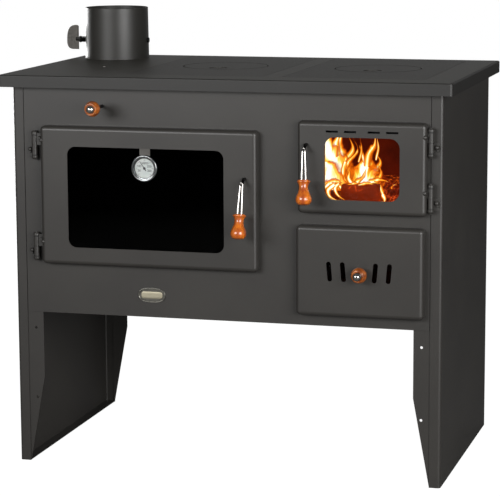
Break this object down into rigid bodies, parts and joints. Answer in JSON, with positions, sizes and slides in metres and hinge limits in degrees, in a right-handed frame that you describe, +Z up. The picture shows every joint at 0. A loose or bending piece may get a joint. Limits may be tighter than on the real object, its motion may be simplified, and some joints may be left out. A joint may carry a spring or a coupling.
{
  "type": "wood cookstove",
  "caption": "Free-standing wood-fired cookstove on panel legs with a glazed oven, firebox door, ash drawer, hob plates with lids and a flue collar with damper.",
  "frame": {"origin": "on the floor, under the middle of the whole object's box", "axes": "+X to the right seen from the front, +Y to the back, +Z up"},
  "size_m": [0.944, 0.6178, 0.905],
  "materials": {
    "casing_paint": "matt heat-resistant anthracite paint",
    "hob_cast_iron": "painted cast iron",
    "black_steel": "blackened steel",
    "bare_steel": "dull rolled steel",
    "chrome": "polished",
    "lacquered_wood": "glossy orange-brown lacquer",
    "oven_glass": "dark ceramic glass",
    "fire_glass": "clear ceramic glass",
    "lens": "clear",
    "dial_white": "white printed dial",
    "needle_black": "matt",
    "steel_bezel": "polished steel",
    "rope_seal": "woven glass rope",
    "firebrick": "fired clay",
    "oven_enamel": "black enamel",
    "galvanised": "galvanised sheet",
    "badge_metal": "bare brushed plate"
  },
  "bodies": {
    "stove": {"side_panel_left": "casing_paint", "side_panel_right": "casing_paint", "front_panel": "casing_paint", "rear_panel": "casing_paint", "base_panel": "casing_paint", "casing_screws": "bare_steel", "badge": "badge_metal", "top_apron": "casing_paint", "top_plate": "casing_paint", "flue_collar": "casing_paint", "hinge_leaves": "casing_paint", "hinge_pins": "casing_paint", "bypass_bush": "bare_steel", "smoke_baffle": "bare_steel", "flueway_floor": "bare_steel", "oven_box": "oven_enamel", "oven_rack": "chrome", "firebox_shell": "bare_steel", "firebricks": "firebrick", "grate": "hob_cast_iron"},
    "oven_door": {"oven_door_panel": "casing_paint", "oven_door_liner": "oven_enamel", "oven_door_glass": "oven_glass", "oven_door_seal": "rope_seal", "oven_door_studs": "bare_steel", "oven_door_knuckles": "casing_paint", "thermometer_strap": "bare_steel", "thermometer_case": "steel_bezel", "thermometer_dial": "dial_white", "thermometer_glass": "lens"},
    "oven_handle": {"oven_door_latch": "black_steel", "oven_handle_wire": "chrome", "oven_handle_grip": "lacquered_wood"},
    "thermometer_pointer": {"thermometer_needle": "needle_black"},
    "fire_door": {"fire_door_panel": "casing_paint", "fire_door_liner": "oven_enamel", "fire_door_glass": "fire_glass", "fire_door_seal": "rope_seal", "fire_door_studs": "bare_steel", "fire_door_knuckles": "casing_paint"},
    "fire_handle": {"fire_door_latch": "black_steel", "fire_handle_wire": "chrome", "fire_handle_grip": "lacquered_wood"},
    "ash_drawer": {"ash_pan": "galvanised", "ash_drawer_front": "casing_paint", "ash_knob": "lacquered_wood", "ash_knob_screw": "chrome"},
    "bypass": {"bypass_rod": "black_steel", "bypass_shutter": "bare_steel", "bypass_knob": "lacquered_wood", "bypass_knob_screw": "chrome"},
    "damper": {"damper_spindle": "black_steel", "damper_disc": "bare_steel", "damper_handle": "bare_steel", "damper_spring": "black_steel"},
    "left_hob_plate": {"hob_plate_left": "hob_cast_iron"},
    "right_hob_plate": {"hob_plate_right": "hob_cast_iron"},
    "left_lid": {"hob_lid_left": "hob_cast_iron"},
    "right_lid": {"hob_lid_right": "hob_cast_iron"}
  },
  "joints": [
    {"name": "oven_door_hinge", "type": "hinge", "parent": "stove", "child": "oven_door", "pos_m": [-0.377, -0.23611, 0.5555], "axis": [0, 0, -1], "range_deg": [0, 110]},
    {"name": "oven_handle_turn", "type": "hinge", "parent": "oven_door", "child": "oven_handle", "pos_m": [0.0624, -0.24811, 0.601], "axis": [0, 1, 0], "range_deg": [0, 90]},
    {"name": "thermometer_needle_turn", "type": "hinge", "parent": "oven_door", "child": "thermometer_pointer", "pos_m": [-0.142, -0.25011, 0.616], "axis": [0, 1, 0], "range_deg": [-100, 170]},
    {"name": "fire_door_hinge", "type": "hinge", "parent": "stove", "child": "fire_door", "pos_m": [0.4285, -0.23611, 0.62775], "axis": [0, 0, 1], "range_deg": [0, 110]},
    {"name": "fire_handle_turn", "type": "hinge", "parent": "fire_door", "child": "fire_handle", "pos_m": [0.1863, -0.24811, 0.672], "axis": [0, -1, 0], "range_deg": [0, 90]},
    {"name": "ash_drawer_slide", "type": "slide", "parent": "stove", "child": "ash_drawer", "axis": [0, -1, 0], "range_m": [0, 0.3]},
    {"name": "bypass_slide", "type": "slide", "parent": "stove", "child": "bypass", "axis": [0, -1, 0], "range_m": [-0.03, 0.08]},
    {"name": "damper_turn", "type": "hinge", "parent": "stove", "child": "damper", "pos_m": [-0.356, 0.21889, 0.834], "axis": [1, 0, 0], "range_deg": [0, 90]},
    {"name": "left_hob_plate_lift", "type": "slide", "parent": "stove", "child": "left_hob_plate", "axis": [0, 0, 1], "range_m": [0, 0.08]},
    {"name": "right_hob_plate_lift", "type": "slide", "parent": "stove", "child": "right_hob_plate", "axis": [0, 0, 1], "range_m": [0, 0.08]},
    {"name": "left_lid_lift", "type": "slide", "parent": "left_hob_plate", "child": "left_lid", "axis": [0, 0, 1], "range_m": [0, 0.06]},
    {"name": "right_lid_lift", "type": "slide", "parent": "right_hob_plate", "child": "right_lid", "axis": [0, 0, 1], "range_m": [0, 0.06]}
  ]
}
